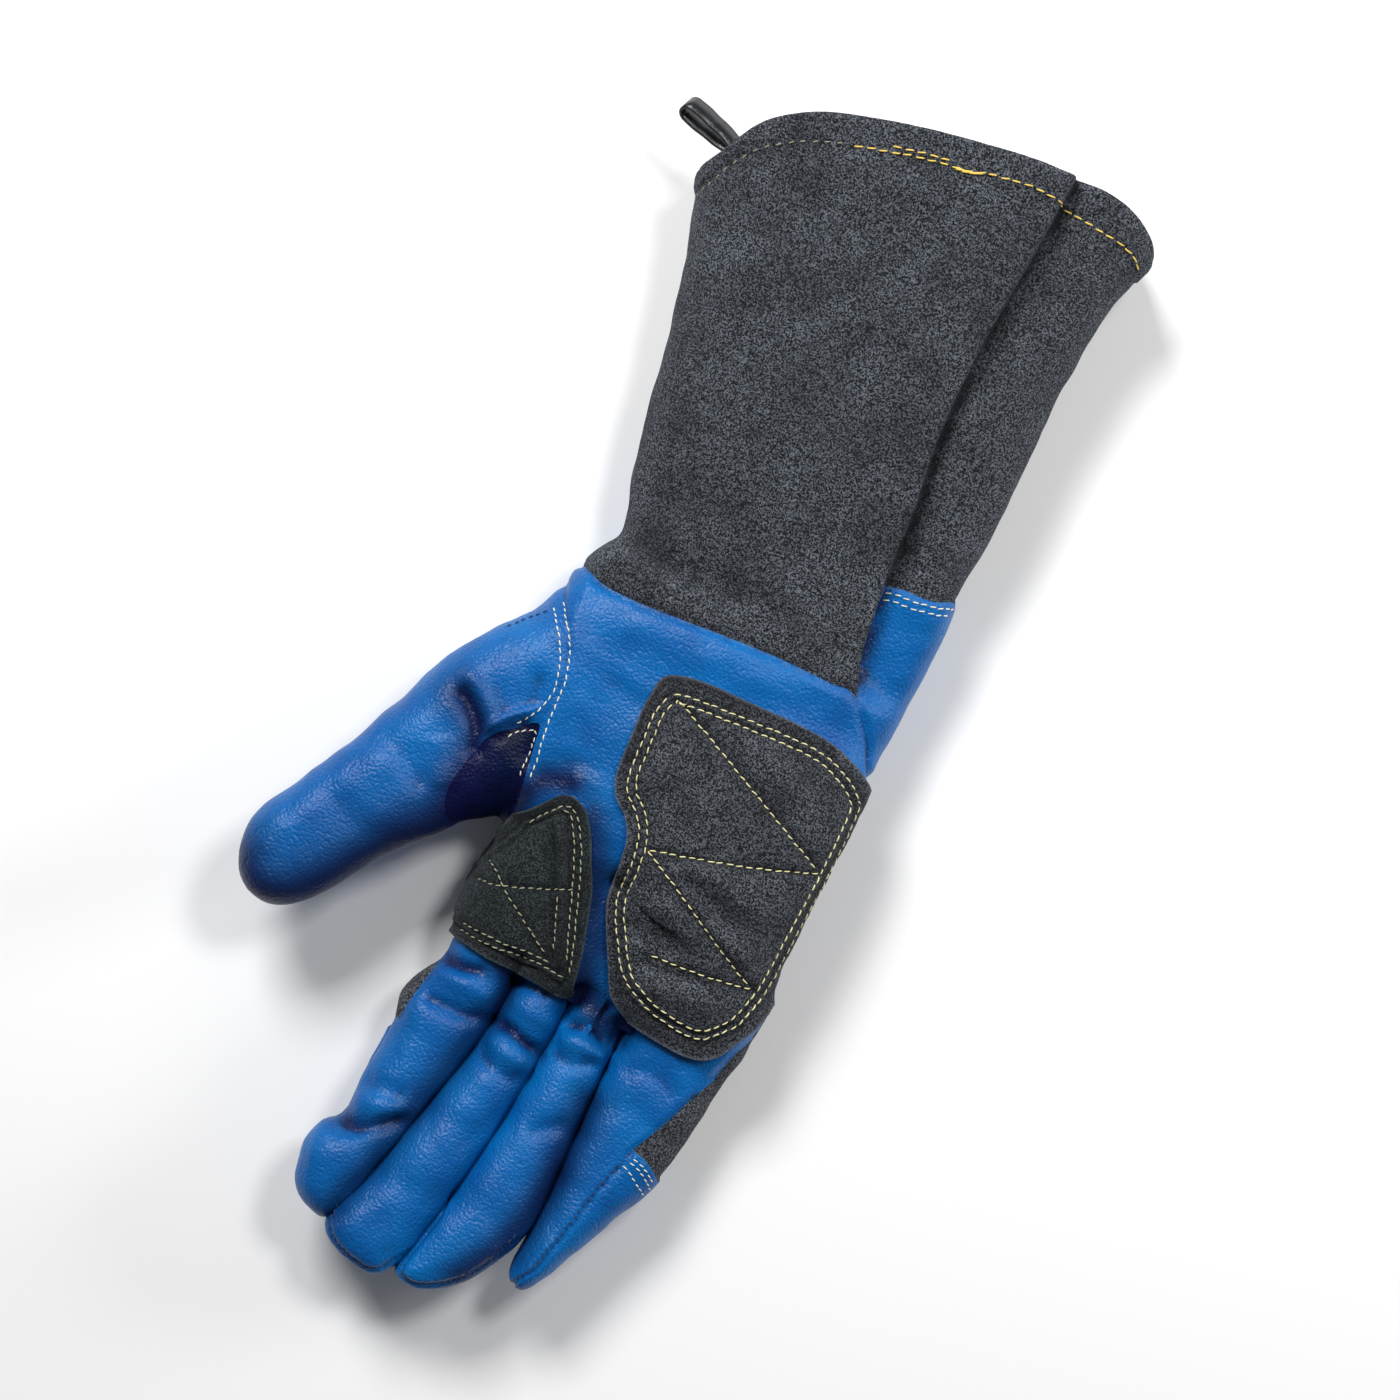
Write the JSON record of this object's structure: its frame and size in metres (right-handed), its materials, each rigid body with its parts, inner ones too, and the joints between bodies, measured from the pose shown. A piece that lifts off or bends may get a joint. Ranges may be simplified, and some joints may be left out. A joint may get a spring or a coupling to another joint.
{
  "type": "welding glove",
  "caption": "Long right-hand welding gauntlet of grain leather and suede, lying palm up, with quilted palm patches and a hang loop.",
  "frame": {"origin": "on the bench, where the back of the hand lies, 60 mm below the wrist seam and on the palm's middle", "axes": "+Y from the fingertips to the cuff opening, +X from the thumb to the little finger, +Z out of the palm"},
  "size_m": [0.1933, 0.4671, 0.061],
  "materials": {
    "blue_grain_leather": "dyed grain leather, soft sheen",
    "charcoal_suede": "mottled split suede, matt",
    "loop_trim": "thin glossy strip",
    "fleece_lining": "brushed fleece",
    "cotton_lining": "plain woven cotton",
    "foam": "soft open-cell padding"
  },
  "bodies": {
    "hand": {"palm_panel": "blue_grain_leather", "back_panel": "charcoal_suede", "hand_lining": "fleece_lining", "palm_pad_cover": "charcoal_suede", "palm_pad_foam": "foam", "crotch_patch_cover": "charcoal_suede", "crotch_patch_foam": "foam"},
    "index_finger": {"index_sidewall": "blue_grain_leather", "index_front": "blue_grain_leather", "index_back": "charcoal_suede", "index_tip_cap": "blue_grain_leather", "index_lining": "fleece_lining"},
    "middle_finger": {"middle_sidewall_index_side": "blue_grain_leather", "middle_sidewall_ring_side": "blue_grain_leather", "middle_front": "blue_grain_leather", "middle_back": "charcoal_suede", "middle_tip_cap": "blue_grain_leather", "middle_lining": "fleece_lining"},
    "ring_finger": {"ring_sidewall_middle_side": "blue_grain_leather", "ring_sidewall_little_side": "blue_grain_leather", "ring_front": "blue_grain_leather", "ring_back": "charcoal_suede", "ring_tip_cap": "blue_grain_leather", "ring_lining": "fleece_lining"},
    "little_finger": {"little_sidewall": "blue_grain_leather", "little_front": "blue_grain_leather", "little_back": "charcoal_suede", "little_tip_cap": "blue_grain_leather", "little_lining": "fleece_lining"},
    "thumb": {"thumb_front": "blue_grain_leather", "thumb_back": "blue_grain_leather", "thumb_gusset": "blue_grain_leather", "thumb_lining": "fleece_lining"},
    "gauntlet": {"cuff_front": "charcoal_suede", "cuff_back": "charcoal_suede", "wrist_band": "blue_grain_leather", "cuff_lining_front": "cotton_lining", "cuff_lining_back": "cotton_lining"},
    "hang_loop": {"hang_loop": "loop_trim"}
  },
  "joints": [
    {"name": "index_bend", "type": "hinge", "parent": "hand", "child": "index_finger", "pos_m": [-0.033, -0.078, 0.0345], "axis": [-1, 0, 0], "range_deg": [0, 55]},
    {"name": "middle_bend", "type": "hinge", "parent": "hand", "child": "middle_finger", "pos_m": [-0.008, -0.078, 0.0345], "axis": [-1, 0, 0], "range_deg": [0, 55]},
    {"name": "ring_bend", "type": "hinge", "parent": "hand", "child": "ring_finger", "pos_m": [0.014, -0.078, 0.0345], "axis": [-1, 0, 0], "range_deg": [0, 55]},
    {"name": "little_bend", "type": "hinge", "parent": "hand", "child": "little_finger", "pos_m": [0.045, -0.078, 0.0355], "axis": [-1, 0, 0], "range_deg": [0, 55]},
    {"name": "thumb_bend", "type": "hinge", "parent": "hand", "child": "thumb", "pos_m": [-0.0598, 0.0155, 0.042], "axis": [-0.295, 0.9555, 0], "range_deg": [0, 45]},
    {"name": "wrist_bend", "type": "hinge", "parent": "hand", "child": "gauntlet", "pos_m": [-0.003, 0.062, 0.0465], "axis": [1, 0, 0], "range_deg": [0, 40]},
    {"name": "loop_flex", "type": "hinge", "parent": "gauntlet", "child": "hang_loop", "pos_m": [-0.0925, 0.2223, 0.036], "axis": [0.141, 0.99, 0], "range_deg": [-20, 20], "stiffness_Nm_per_rad": 0.002}
  ]
}
